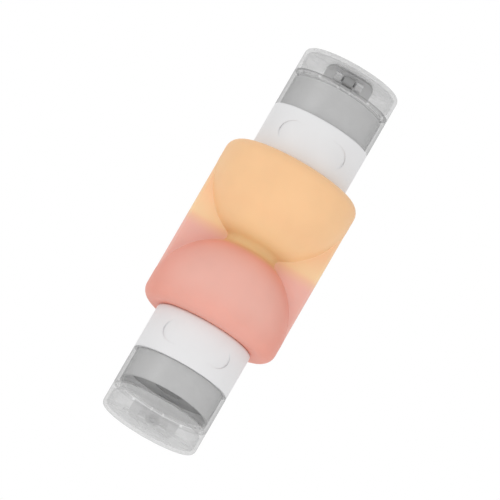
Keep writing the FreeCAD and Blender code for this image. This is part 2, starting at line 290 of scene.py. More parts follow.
class CapSizes(bpy.types.PropertyGroup):
    """Sizes of the caps, the lids and their hinges"""

    skirt_wall: size("Skirt wall", 1.6, "Thickness of the inner cap's skirt")
    rim_wall: size("Rim wall", 1.0, "Thickness of the inner cap's rim above its deck")
    rim_drop: size("Rim drop", 2.3, "How far the rim slopes down from the hinge to the pouring side")
    spout_radius: size("Spout radius", 5.5, "Radius of the hole in the deck")
    valve_seat_depth: size("Valve seat depth", 0.9, "Depth of the valve's seat in the deck")
    valve_opening: size("Valve opening", 4.6, "Radius of the valve's dish at its top")
    valve_dish: size("Valve dish", 1.1, "Depth of the valve's dish")
    valve_membrane: size("Valve membrane", 0.6, "Thickness of the valve's membrane")
    slit_width: size("Slit width", 0.16, "Width of the valve's cross slit")
    slit_length: size("Slit length", 5.2, "Length of each of the valve's two slits")
    shell_wall: size("Sleeve wall", 1.35, "Thickness of the clear sleeve")
    ledge: size("Ledge", 0.9, "Thickness of the sleeve's ledge on the inner cap's rim")
    register_depth: size("Register depth", 1.05, "Height of the sleeve's edge above its ledge")
    seam_gap: size("Seam gap", 0.05, "Gap between the sleeve and the closed lid")
    collar_gap: size("Collar gap", 0.1, "Gap between a collar and its closed cap")
    edge_round: size("Edge round", 0.3, "Round of the sleeve's edges")
    lid_wall: size("Lid wall", 1.2, "Thickness of the lid's wall")
    lid_roof: size("Lid roof", 1.4, "Thickness of the lid's flat end")
    lid_edge_round: size("Lid edge round", 2.0, "Round of the lid's outer edge")
    lid_inner_round: size("Lid inner round", 0.9, "Round of the lid's inner edge")
    lid_foot: size("Lid foot", 1.2, "Height of the thick foot of the lid's wall")
    register_wall: size("Register wall", 1.0, "Thickness of the lid's register rim")
    register_clearance: size("Register clearance", 0.3, "Gap between the register rim and the sleeve")
    ear_fit: size("Ear fit", 0.01, "Gap between the pin and the sleeve's ears")
    ear_thickness: size("Ear thickness", 0.6, "Thickness of the sleeve's two hinge ears")
    ear_radius: size("Ear radius", 1.3, "Round of an ear's top")
    knuckle_gap: size("Knuckle gap", 0.3, "Gap between an ear and the lid's knuckle")
    pin_clearance: size("Pin clearance", 0.05, "Gap round the pin in the lid's knuckles")
    arm_thickness: size("Arm thickness", 2.2, "Height of the arms that carry the lid's knuckles")
    pocket_half_width: size("Pocket half width", 9.3, "Half the width of the lid's hinge pocket")
    pocket_clearance: size("Pocket clearance", 1.1, "Gap between the knuckles and the pocket's back")
    pocket_headroom: size("Pocket headroom", 1.7, "Gap between the knuckles and the pocket's roof")
    pocket_corner: size("Pocket corner", 3.0, "Round of the pocket's upper corners")
    pocket_wall: size("Pocket wall", 1.0, "Thickness of the pocket's walls")
    heel_relief: size("Heel relief", 0.8, "Strip taken off the pocket's upper front edge")


class BottleColours(bpy.types.PropertyGroup):
    """Colours of the bottle's plastics and silicone"""

    orange: colour("Orange silicone", "#fbcb9a", "The upper bowl's silicone")
    # The lower bowl's pink is painted lighter in its middle as a highlight, and darker towards its edges
    # as shade
    pink: colour("Pink silicone", "#f2b7a9", "The lower bowl's silicone in its thin middle")
    shaded_pink: colour("Deep pink silicone", "#eda08f", "The lower bowl's silicone where it is thick")
    # The colour of the shade painted in the crease between the bowls
    waist: colour("Waist silicone", "#bcb26c", "Deeper tone of the solid silicone between the bowls")
    # The colour of the glow painted on the orange bowl beside the waist
    glow: colour("Silicone glow", "#fffbc0", "Light that comes through thin orange silicone")
    white: colour("White polypropylene", "#e9e9ea", "The collars and the neck tubes")
    grey: colour("Grey polypropylene", "#ebebeb", "The inner caps")
    dark: colour("Dark polypropylene", "#8c8c8c", "The bushes on the hinge pins")
    # Valve rings and valves are dark greys that paint the shade on a cap's floor
    ring: colour("Valve ring polypropylene", "#8e8e8e", "The rings that hold the slit valves")
    seal: colour("Seal silicone", "#8f8f8f", "The sealing rings and the slit valves")
    clear: colour("Clear plastic", "#f3f3f3", "Light left after it has passed a sleeve's surface")
    milky: colour("Milky plastic", "#f6f6f6", "Light left after it has passed a lid's surface")
    satin: colour("Satin plastic", "#d6d6d6", "Light left after it has passed a satin clear surface")
    pressed: colour("Pressed plastic", "#ffffff", "Light left after it has passed a joint's pressed faces")


class StageSettings(bpy.types.PropertyGroup):
    """Camera, light and floor"""

    elevation: angle("Elevation", -10.8, "The camera's angle above the horizon")
    lean: angle("Lean", 30.1, "How far the bottle leans to the right in the picture")
    frame_width: size("Frame width", 179.2, "Width of the picture at the bottle")
    lens: FloatProperty(
        name="Lens", description="Focal length in millimetres", default=1000.0, unit="CAMERA"
    )
    key_power: power("Key light", 1.5, "Power of the light from the right")
    low_power: power("Low light", 1.3, "Power of the light from below")
    fill_power: power("Fill light", 1.6, "Power of the light from the left")
    ambient: FloatProperty(
        name="Ambient", description="Level of the light from all round", default=0.78, subtype="FACTOR"
    )
    floor_colour: colour("Floor", "#f6f6f6", "The pale floor")


# Mesh tools

def rounded(corners, steps=ARC_STEPS):
    """Points of a closed outline from (across, up) corners; a third number makes a corner an arc."""
    points = []
    count = len(corners)
    for index, (across, up, *corner_round) in enumerate(corners):
        here = Vector((across, up))
        if not any(corner_round):
            points.append(here)
            continue
        radius = corner_round[0]
        back = (Vector(corners[index - 1][:2]) - here).normalized()
        onward = (Vector(corners[(index + 1) % count][:2]) - here).normalized()
        half_angle = back.angle(onward) / 2
        centre = here + (back + onward).normalized() * radius / math.sin(half_angle)
        first = here + back * radius / math.tan(half_angle) - centre
        last = here + onward * radius / math.tan(half_angle) - centre
        for step in range(steps + 1):
            turn = first.normalized().slerp(last.normalized(), step / steps)
            points.append(centre + turn * radius)
    return points


def smooth(mesh):
    """Shades a mesh smooth, creased where its faces meet at an angle."""
    mesh.polygons.foreach_set("use_smooth", [True] * len(mesh.polygons))
    mesh.set_sharp_from_angle(angle=CREASE)


def new_object(name, work):
    """A smooth shaded object of the faces in work, which is used up."""
    bmesh.ops.recalc_face_normals(work, faces=work.faces)
    mesh = bpy.data.meshes.new(name)
    work.to_mesh(mesh)
    work.free()
    smooth(mesh)
    made = bpy.data.objects.new(name, mesh)
    bpy.context.scene.collection.objects.link(made)
    return made


def ring_solid(name, rings):
    """A closed solid from rings of points. A ring of one point is a pole, and with none it joins up."""
    work = bmesh.new()
    loops = [[work.verts.new(point) for point in ring] for ring in rings]
    has_poles = len(loops[0]) == 1
    count = max(len(loop) for loop in loops)
    for lower, upper in zip(loops, loops[1:] if has_poles else loops[1:] + loops[:1]):
        for step in range(count):
            after = (step + 1) % count
            if len(lower) == 1:
                work.faces.new((lower[0], upper[after], upper[step]))
            elif len(upper) == 1:
                work.faces.new((lower[step], lower[after], upper[0]))
            else:
                work.faces.new((lower[step], lower[after], upper[after], upper[step]))
    return new_object(name, work)


def full_turn(steps):
    """Angles of equal steps round a whole turn."""
    return [2 * math.pi * step / steps for step in range(steps)]


def lathe(name, corners, steps=LATHE_STEPS, arc_steps=ARC_STEPS):
    """A solid of revolution about Z from (radius, height, round) corners."""
    turns = full_turn(steps)
    rings = []
    for point in rounded(corners, arc_steps):
        if point.x < ON_AXIS:
            rings.append([(0.0, 0.0, point.y)])
        else:
            rings.append([(point.x * math.cos(a), point.x * math.sin(a), point.y) for a in turns])
    # Rings with poles have to start at one
    for index, ring in enumerate(rings):
        if len(ring) == 1 and len(rings[index - 1]) == 1:
            rings = rings[index:] + rings[:index]
            break
    return ring_solid(name, rings)


def prism(outline, axis, low, high):
    """An outline pushed along an axis from low to high."""
    order = PRISM_ORDER[axis]
    work = bmesh.new()
    near, far = [
        [work.verts.new([(p.x, p.y, along)[index] for index in order]) for p in outline]
        for along in (low, high)
    ]
    work.faces.new(near)
    work.faces.new(list(reversed(far)))
    for index in range(len(outline)):
        after = (index + 1) % len(outline)
        work.faces.new((near[index], near[after], far[after], far[index]))
    return new_object("prism", work)


def box_outline(low_across, high_across, low_up, high_up, corner=0.0, steps=ARC_STEPS):
    """A rectangle's outline with equal corner rounds."""
    return rounded([
        (low_across, low_up, corner), (high_across, low_up, corner),
        (high_across, high_up, corner), (low_across, high_up, corner),
    ], steps)


def hinge_rod(radius, low_x, high_x):
    """A rod on the hinge's axis."""
    outline = [
        Vector((HINGE_Y + radius * math.cos(a), HINGE_HEIGHT + radius * math.sin(a)))
        for a in full_turn(ROD_STEPS)
    ]
    return prism(outline, "X", low_x, high_x)


def combine(base, tool, operation):
    """Joins, cuts or keeps the common part of base with tool, which is used up."""
    change = base.modifiers.new("combine", "BOOLEAN")
    change.operation = operation
    change.solver = "EXACT"
    change.object = tool
    depsgraph = bpy.context.evaluated_depsgraph_get()
    mesh = bpy.data.meshes.new_from_object(base.evaluated_get(depsgraph))
    base.modifiers.clear()
    old = base.data
    base.data = mesh
    bpy.data.meshes.remove(old)
    bpy.data.meshes.remove(tool.data)
    smooth(mesh)
    return base


def finish_piece(piece, end, name, body, material, node=None):
    """Moves a piece to its end of the bottle, names it, and ties it to its body, finish and node."""
    turn = Matrix.Rotation(math.pi if end == "lower" else 0.0, 4, "X")
    piece.data.transform(Matrix.Translation(UP * MIDDLE) @ turn)
    piece.data.update()
    piece.name = end + "_" + name
    piece.data.name = piece.name
    piece.data.materials.clear()
    piece.data.materials.append(material)
    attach(piece, body)
    if node:
        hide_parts(end + "_" + node)
    return piece


# Materials

def add_node(tree, kind, inputs=None, **settings):
    """Adds a node, sets what it has and links what it takes."""
    node = tree.nodes.new(kind)
    for name, value in settings.items():
        setattr(node, name, value)
    for socket, value in (inputs or {}).items():
        if isinstance(value, bpy.types.NodeSocket):
            tree.links.new(value, node.inputs[socket])
        else:
            node.inputs[socket].default_value = value
    return node


def opaque(rgb):
    """A colour with full alpha, as a socket takes it."""
    return (*rgb, 1.0)


def material_of(name, surface, *settings):
    """The material of a name, made at its first use: surface adds the nodes and gives the shader."""
    material = bpy.data.materials.get(name)
    if material:
        return material
    material = bpy.data.materials.new(name)
    material.use_nodes = True
    tree = material.node_tree
    tree.nodes.clear()
    # A point's place in the row's frame, in metres
    place = add_node(tree, "ShaderNodeTexCoord").outputs["Object"]
    add_node(tree, "ShaderNodeOutputMaterial", {"Surface": surface(tree, place, *settings)})
    return material


def maths(tree, operation, first, second=0.0):
    """One step of arithmetic."""
    return add_node(tree, "ShaderNodeMath", {0: first, 1: second}, operation=operation).outputs[0]


def ramp(tree, value, limits, ends=(0.0, 1.0), curve="SMOOTHSTEP"):
    """The first end where a value is below its limits, the second above them, and a run between."""
    return add_node(tree, "ShaderNodeMapRange", {
        "Value": value, "From Min": limits[0], "From Max": limits[1], "To Min": ends[0], "To Max": ends[1],
    }, interpolation_type=curve).outputs["Result"]


def parts(span, length):
    """A span that is given in parts of a length."""
    return span[0] * length, span[1] * length


def blend(tree, share, first, second):
    """A share of the second colour in the first."""
    return add_node(tree, "ShaderNodeMix", {
        "Factor": share, "A": first, "B": second,
    }, data_type="RGBA").outputs["Result"]


def mix_shaders(tree, share, first, second):
    """A share of the second shader in the first."""
    return add_node(tree, "ShaderNodeMixShader", {0: share, 1: first, 2: second}).outputs["Shader"]


def grain(tree, place, grain_size, strength, depth):
    """A bump of fine moulded grain of a real size."""
    noise = add_node(tree, "ShaderNodeTexNoise", {
        "Vector": place, "Scale": 1.0 / grain_size, "Detail": 3.0, "Roughness": 0.55,
    })
    return add_node(tree, "ShaderNodeBump", {
        "Height": noise.outputs["Fac"], "Strength": strength, "Distance": depth,
    }).outputs["Normal"]


def drift(tree, place, patch_size, low, high):
    """A value that drifts between two limits over patches of a real size."""
    noise = add_node(tree, "ShaderNodeTexNoise", {
        "Vector": place, "Scale": 1.0 / patch_size, "Detail": 2.0,
    })
    return ramp(tree, noise.outputs["Fac"], NOISE_SPAN, (low, high), "LINEAR")


def uneven(tree, tone, value):
    """A colour whose lightness follows a value."""
    return add_node(tree, "ShaderNodeHueSaturation", {"Color": tone, "Value": value}).outputs["Color"]


def moulded_silicone(tree, place, sizes, colours):
    """Liquid silicone from a fine blasted mould: a velvety satin skin that lets light in a little.

    Both colours are cured in one tool, so they run together: softly on the web and in a short step
    just below the waist on the bowls. Light and shade are painted on top: the web is lightened as if lit
    through from behind, the pink is lighter in the middle of a bowl and darker at its edges and shoulder,
    a glow is painted on the orange beside the waist, and shade is painted in the crease between the bowls.
    """
    axes = add_node(tree, "ShaderNodeSeparateXYZ", {"Vector": place}).outputs
    off_plane = maths(tree, "ABSOLUTE", axes["Y"])
    rise = maths(tree, "SUBTRACT", axes["Z"], MIDDLE)
    height = maths(tree, "ABSOLUTE", rise)
    # The web lies in the middle plane and ends where the bowls are at their widest
    in_plane = ramp(tree, off_plane, parts(WEB_SIDE, sizes.web_thickness), (1.0, 0.0), "LINEAR")
    between = ramp(tree, height, parts(WEB_END, BODY_RADIUS - sizes.dome_sink), (1.0, 0.0))
    is_web = maths(tree, "MULTIPLY", in_plane, between)
    # The share of orange on the bowls and on the web
    overlap = sizes.orange_overlap
    on_bowls = ramp(tree, rise, (-overlap - sizes.bowl_blend, sizes.bowl_blend - overlap))
    on_web = ramp(tree, rise, (-sizes.web_blend, sizes.web_blend))
    share = ramp(tree, is_web, (0.0, 1.0), (on_bowls, on_web), "LINEAR")
    # Painted highlight and shade: the pink is lightest in the middle of a bowl, off the web and the
    # shoulder, and darker towards them
    off_edge = ramp(tree, off_plane, parts(HIGHLIGHT_DEPTH, BODY_RADIUS))
    off_shoulder = ramp(tree, height, parts(HIGHLIGHT_HEIGHT, BODY_RADIUS), (1.0, SHOULDER_HIGHLIGHT))
    painted_highlight_share = maths(tree, "MAXIMUM", maths(tree, "MULTIPLY", off_edge, off_shoulder), is_web)
    pink = blend(tree, painted_highlight_share, opaque(colours.shaded_pink), opaque(colours.pink))
    skin = blend(tree, share, pink, opaque(colours.orange))
    # Painted light: a pale yellow glow on the round of the orange bowl beside the waist, off the crease
    beside_waist = ramp(tree, rise, PAINTED_GLOW_SPAN, (WAIST_PAINTED_GLOW, 0.0))
    off_crease = ramp(tree, rise, CREASE_SPAN)
    painted_glow = blend(tree, maths(tree, "MULTIPLY", beside_waist, off_crease), skin, opaque(colours.glow))
    # Painted light: the web is mixed towards white, as if lit through from behind
    painted_web_light = blend(tree, maths(tree, "MULTIPLY", is_web, WEB_PAINTED_LIGHT), painted_glow, WHITE)
    # Painted shade: in the crease between the bowls, off the web, the silicone is darkened towards an
    # olive brown
    deeper = ramp(tree, height, parts(CREASE_SHADE_HEIGHT, overlap), (WAIST_CREASE_SHADE, 0.0))
    solid = maths(tree, "MULTIPLY", deeper, maths(tree, "SUBTRACT", 1.0, is_web))
    crease_shaded = blend(tree, solid, painted_web_light, opaque(colours.waist))
    return add_node(tree, "ShaderNodeBsdfPrincipled", {
        "Base Color": uneven(tree, crease_shaded, drift(tree, place, 14.0 * MM, 0.97, 1.02)),
        "Roughness": drift(tree, place, 9.0 * MM, 0.46, 0.52),
        "Normal": grain(tree, place, 0.35 * MM, 0.12, 0.02 * MM),
        "IOR": 1.41,
        "Specular IOR Level": 0.25,
        "Subsurface Weight": 0.12,
        "Subsurface Radius": (1.0, 0.55, 0.4),
        "Subsurface Scale": 1.2 * MM,
    }).outputs["BSDF"]


def moulded_plastic(tree, place, rgb, roughness, grain_size):
    """Polypropylene from a lightly textured mould: an even satin with soft highlights."""
    return add_node(tree, "ShaderNodeBsdfPrincipled", {
        "Base Color": uneven(tree, opaque(rgb), drift(tree, place, 11.0 * MM, 0.985, 1.01)),
        "Roughness": drift(tree, place, 7.0 * MM, roughness - 0.03, roughness + 0.04),
        "Normal": grain(tree, place, grain_size, 0.06, 0.01 * MM),
        "IOR": 1.49,
    }).outputs["BSDF"]


def clear_plastic(tree, place, rgb, haze, slant_share, gloss_share):
    """Thin clear polypropylene: slightly milky walls that show what lies behind, with a soft gloss."""
    bend = grain(tree, place, 9.0 * MM, 0.008, 0.05 * MM)
    facing = add_node(tree, "ShaderNodeLayerWeight", {"Blend": 0.5, "Normal": bend}).outputs["Facing"]
    # At a slant the way through the wall is longer and takes more light
    less = opaque([channel * slant_share for channel in rgb])
    wall = add_node(tree, "ShaderNodeBsdfTransparent", {"Color": opaque(rgb)}).outputs["BSDF"]
    slanted = add_node(tree, "ShaderNodeBsdfTransparent", {"Color": less}).outputs["BSDF"]
    through = mix_shaders(tree, maths(tree, "POWER", facing, SLANT_POWER), wall, slanted)
    milk = add_node(tree, "ShaderNodeBsdfDiffuse", {"Color": opaque(rgb)}).outputs["BSDF"]
    gloss = add_node(tree, "ShaderNodeBsdfAnisotropic", {
        "Roughness": drift(tree, place, 8.0 * MM, 0.24, 0.3), "Normal": bend,
    }).outputs["BSDF"]
    # Mirror share of a plastic of index 1.49: 4 per cent face on, more at a slant
    steep = maths(tree, "POWER", facing, MIRROR_POWER)
    mirror = ramp(tree, steep, (0.0, 1.0), (MIRROR_LEAST * gloss_share, gloss_share), "LINEAR")
    return mix_shaders(tree, mirror, mix_shaders(tree, haze, through, milk), gloss)


# Each moulded finish with its colour, roughness and grain, and each clear one with its colour, haze,
# share of light left at a slant and share of gloss
FINISHES = {
    # Collars and neck tubes: a soft white with hardly a highlight
    "satin_polypropylene_white": (moulded_plastic, "white", 0.5, 0.3 * MM),
    # Inner caps: a pale grey with a little more shine
    "satin_polypropylene_grey": (moulded_plastic, "grey", 0.34, 0.3 * MM),
    # Valve rings: a mid grey, dark so that it paints shade on the floor of a cap
    "satin_polypropylene_charcoal": (moulded_plastic, "ring", 0.4, 0.3 * MM),
    # Bushes on the hinge pins: the dark block in a lid's pocket
    "satin_polypropylene_dark": (moulded_plastic, "dark", 0.4, 0.3 * MM),
    # Sealing rings and valves: a dull grey rubber, which also paints shade on the floor of a cap
    "moulded_silicone_seal": (moulded_plastic, "seal", 0.5, 0.25 * MM),
    # Sleeves and hinge pins: clear, and darker at a slant
    "clear_polypropylene": (clear_plastic, "clear", 0.04, 0.58, 0.6),
    # Lids: milky, so that what lies behind is soft
    "milky_clear_polypropylene": (clear_plastic, "milky", 0.2, 0.84, 0.6),
    # Hinge pockets: a satin skin that hides part of what lies behind; on a sleeve's ledge by the hinge it
    # paints a darker strip of shade
    "satin_clear_polypropylene": (clear_plastic, "satin", 0.42, 1.0, 1.0),
    # Faces pressed together in the joint of a sleeve with its collar and lid: they hardly show
    "pressed_clear_polypropylene": (clear_plastic, "pressed", 0.0, 1.0, 0.1),
}


def finish(name, colours):
    """A material of the table, in the colour that it names."""
    surface, tone, *settings = FINISHES[name]
    return material_of(name, surface, getattr(colours, tone), *settings)


def faces_where(piece, test):
    """Numbers of the faces whose centres pass a test."""
    return [face.index for face in piece.data.polygons if test(face.center)]


def face_finish(piece, material, chosen):
    """Gives another finish to the faces of a piece that are named by their numbers."""
    piece.data.materials.append(material)
    for index in chosen:
        piece.data.polygons[index].material_index = len(piece.data.materials) - 1


# Pieces

def web_and_bowl_radius(angles, bowl_radius, sizes):
    """Radius of a level cut through a bowl and the web, at each angle, with a fillet between them."""
    half_long = BODY_RADIUS - sizes.web_inset - sizes.web_edge_round
    half_thick = sizes.web_thickness / 2 - sizes.web_edge_round
    low = np.full(len(angles), bowl_radius)
    high = np.full(len(angles), BODY_RADIUS + sizes.web_thickness)
    for _ in range(WEB_HALVINGS):
        radius = (low + high) / 2
        past_end = np.abs(radius * np.cos(angles)) - half_long
        past_side = np.abs(radius * np.sin(angles)) - half_thick
        outside = np.hypot(np.maximum(past_end, 0.0), np.maximum(past_side, 0.0))
        to_web = outside + np.minimum(np.maximum(past_end, past_side), 0.0) - sizes.web_edge_round
        to_bowl = radius - bowl_radius
        share = np.clip(0.5 + 0.5 * (to_web - to_bowl) / sizes.web_fillet, 0.0, 1.0)
        distance = to_web + (to_bowl - to_web) * share - sizes.web_fillet * share * (1.0 - share)
        low = np.where(distance <= 0.0, radius, low)
        high = np.where(distance <= 0.0, high, radius)
    return np.minimum((low + high) / 2, BODY_RADIUS)


def web_angles(sizes):
    """Angles round a bowl, close together where they cross the web."""
    half_web = sizes.web_thickness / 2
    tip = [math.atan2(half_web * step / WEB_TIP_STEPS, BODY_RADIUS) for step in range(WEB_TIP_STEPS)]
    reaches = np.linspace(BODY_RADIUS, sizes.waist_radius * INSIDE_WAIST, WEB_FLANK_STEPS)
    flank = [math.asin(half_web / reach) for reach in reaches]
    rest = list(np.linspace(flank[-1], math.pi / 2, WEB_FLANK_STEPS))[1:]
    quarter = tip + flank + rest
    half = quarter + [math.pi - turn for turn in reversed(quarter[:-1])]
    return np.array(half + [math.pi + turn for turn in half[1:-1]])


def arc(centre, radius, start, end, steps):
    """Points (reach, height) along an arc from one angle to another."""
    turns = np.linspace(start, end, steps + 1)
    return [(centre[0] + radius * math.cos(turn), centre[1] + radius * math.sin(turn)) for turn in turns]


def bowl_rings(sizes):
    """Rings of a bowl: out over the waist and dome, up the neck, and back down the inside."""
    angles = web_angles(sizes)

    def level_ring(radius, height):
        return list(zip(radius * np.cos(angles), radius * np.sin(angles), [height] * len(angles)))

    dome_height = BODY_RADIUS - sizes.dome_sink
    outside_dome = sizes.waist_radius ** 2 + dome_height ** 2 - BODY_RADIUS ** 2
    waist_round = outside_dome / (2 * (BODY_RADIUS - sizes.waist_radius))
    waist_centre = sizes.waist_radius + waist_round
    dome_start = math.atan2(dome_height, waist_centre)
    webbed = arc((waist_centre, 0.0), waist_round, math.pi, math.pi - dome_start, WAIST_STEPS)
    webbed += arc((0.0, dome_height), BODY_RADIUS, -dome_start, 0.0, DOME_STEPS)[1:]

    quarter = math.pi / 2
    hollow = BODY_RADIUS - sizes.silicone_wall
    shoulder = (BODY_RADIUS - sizes.shoulder_radius, SEAT - sizes.shoulder_radius)
    neck_outer = COLLAR_RADIUS - sizes.collar_wall - sizes.fit
    neck_inner = neck_outer - sizes.neck_wall
    turned = arc(shoulder, sizes.shoulder_radius, 0.0, quarter, SHOULDER_STEPS)
    turned += [(neck_outer, SEAT), (neck_outer, NECK_TOP), (neck_inner, NECK_TOP)]
    turned += [(neck_inner, SEAT - sizes.silicone_wall)]
    turned += arc(shoulder, sizes.shoulder_radius - sizes.silicone_wall, quarter, 0.0, ARC_STEPS)
    turned += arc((0.0, dome_height), hollow, 0.0, -quarter, HOLLOW_STEPS)[:-1]

    rings = [level_ring(web_and_bowl_radius(angles, reach, sizes), height) for reach, height in webbed]
    rings += [level_ring(reach, height) for reach, height in turned]
    return [[(0.0, 0.0, 0.0)]] + rings + [[(0.0, 0.0, dome_height - hollow)]]


class BOTTLE_OT_silicone_bowls(bpy.types.Operator):
    """Make the two silicone bowls with the web between them"""

    bl_idname = "bottle.silicone_bowls"
    bl_label = "Silicone bowls"

    def execute(self, context):
        sizes = context.scene.bottle_sizes
        skin = material_of("moulded_silicone", moulded_silicone, sizes, context.scene.bottle_colours)
        for end, word in (("upper", "orange"), ("lower", "pink")):
            bowl = ring_solid("bowl", bowl_rings(sizes))
            finish_piece(bowl, end, "bowl", "bottle", skin, "chamber")
        return {"FINISHED"}


def finger_scoop(sizes, half_turn):
    """The slivers that a collar's scoop takes off: the two ends of a long rounded patch."""
    middle = SEAT + sizes.scoop_height
    half_wide = sizes.scoop_half_width
    half_high = sizes.scoop_half_height
    outline = box_outline(
        -half_wide, half_wide, middle - half_high, middle + half_high, half_high, SCOOP_STEPS
    )
    patch = prism(outline, "Y", -COLLAR_RADIUS - MM, -half_high)
    reach = sizes.scoop_floor_radius
    floor = lathe("scoop_floor", [
        (0.0, -COLLAR_RADIUS), (reach, -COLLAR_RADIUS),
        (reach, COLLAR_RADIUS), (0.0, COLLAR_RADIUS),
    ])
    front = Matrix.Translation((0.0, -COLLAR_RADIUS - sizes.scoop_rise, middle))
    tilt = Matrix.Rotation(-sizes.scoop_tilt, 4, "X")
    floor.data.transform(front @ tilt @ Matrix.Translation((0.0, reach, 0.0)))
    combine(patch, floor, "DIFFERENCE")
    patch.data.transform(Matrix.Rotation(math.pi * half_turn, 4, "Z"))
    return patch


class BOTTLE_OT_collars(bpy.types.Operator):
    """Make the white collars with their finger scoops"""

    bl_idname = "bottle.collars"
    bl_label = "Collars"

    def execute(self, context):
        sizes = context.scene.bottle_sizes
        white = finish("satin_polypropylene_white", context.scene.bottle_colours)
        bore = COLLAR_RADIUS - sizes.collar_wall
        lip_bore = SPIGOT_RADIUS + sizes.fit
        lip_bottom = COLLAR_TOP - sizes.collar_lip
        for end in ENDS:
            collar = lathe("collar", [
                (bore, SEAT), (COLLAR_RADIUS, SEAT, sizes.collar_foot_round),
                (COLLAR_RADIUS, COLLAR_TOP, sizes.collar_top_round), (lip_bore, COLLAR_TOP),
                (lip_bore, lip_bottom), (bore, lip_bottom),
            ])
            for half_turn in (0, 1):
                combine(collar, finger_scoop(sizes, half_turn), "DIFFERENCE")
            finish_piece(collar, end, "grip_collar", "bottle", white, "collar")
        return {"FINISHED"}


def thread_ridge(root_radius, depth, lead, low, high):
    """A screw thread's ridge between two edges, fading at its ends; a negative depth points inwards."""
    low += lead * ROOT_SHARE
    high -= lead * ROOT_SHARE
    turns = (high - low) / lead
    steps = int(turns * THREAD_STEPS)
    foot = root_radius - math.copysign(THREAD_SINK, depth)
    rings = []
    for step in range(steps + 1):
        share = step / steps
        fade = max(FADE_LEAST, min(1.0, FADE_RATE * share, FADE_RATE * (1.0 - share)))
        turn = 2 * math.pi * turns * share
        height = low + (high - low) * share
        half_root = lead * ROOT_SHARE * fade
        half_crest = lead * CREST_SHARE * fade
        crest = root_radius + depth * fade
        section = [(foot, -half_root), (crest, -half_crest), (crest, half_crest), (foot, half_root)]
        rings.append([(r * math.cos(turn), r * math.sin(turn), height + z) for r, z in section])
    first, last = np.mean(rings[0], axis=0), np.mean(rings[-1], axis=0)
    return ring_solid("thread", [[first]] + rings + [[last]])


class BOTTLE_OT_necks(bpy.types.Operator):
    """Make the hard neck tubes, their threads and the sealing rings"""

    bl_idname = "bottle.necks"
    bl_label = "Threaded necks"

    def execute(self, context):
        sizes = context.scene.bottle_sizes
        white = finish("satin_polypropylene_white", context.scene.bottle_colours)
        seal = finish("moulded_silicone_seal", context.scene.bottle_colours)
        tube_outer = COLLAR_RADIUS - sizes.collar_wall - sizes.neck_wall - 2 * sizes.fit
        bore = tube_outer - sizes.tube_wall
        lip_bottom = COLLAR_TOP - sizes.collar_lip
        for end in ENDS:
            tube = lathe("neck", [
                (bore, NECK_FOOT), (tube_outer, NECK_FOOT), (tube_outer, NECK_TOP),
                (NECK_OUTER, NECK_TOP), (NECK_OUTER, lip_bottom), (SPIGOT_RADIUS, lip_bottom),
                (SPIGOT_RADIUS, SPIGOT_TOP, WIDE_ROUND), (bore, SPIGOT_TOP, SMALL_ROUND),
            ], SMALL_STEPS)
            finish_piece(tube, end, "neck_tube", "bottle", white, "threaded_neck")
            ridge = thread_ridge(
                SPIGOT_RADIUS, sizes.thread_depth, sizes.thread_lead, COLLAR_TOP, SPIGOT_TOP
            )
            finish_piece(ridge, end, "neck_thread", "bottle", white)
            ring = lathe("ring", [
                (bore, SPIGOT_TOP, FINE_ROUND), (SPIGOT_RADIUS, SPIGOT_TOP, FINE_ROUND),
                (SPIGOT_RADIUS, DECK_BOTTOM, FINE_ROUND), (bore, DECK_BOTTOM, FINE_ROUND),
            ], SMALL_STEPS, SOFT_ARC_STEPS)
            finish_piece(ring, end, "seal_ring", end + "_seal", seal, "gasket")
        return {"FINISHED"}


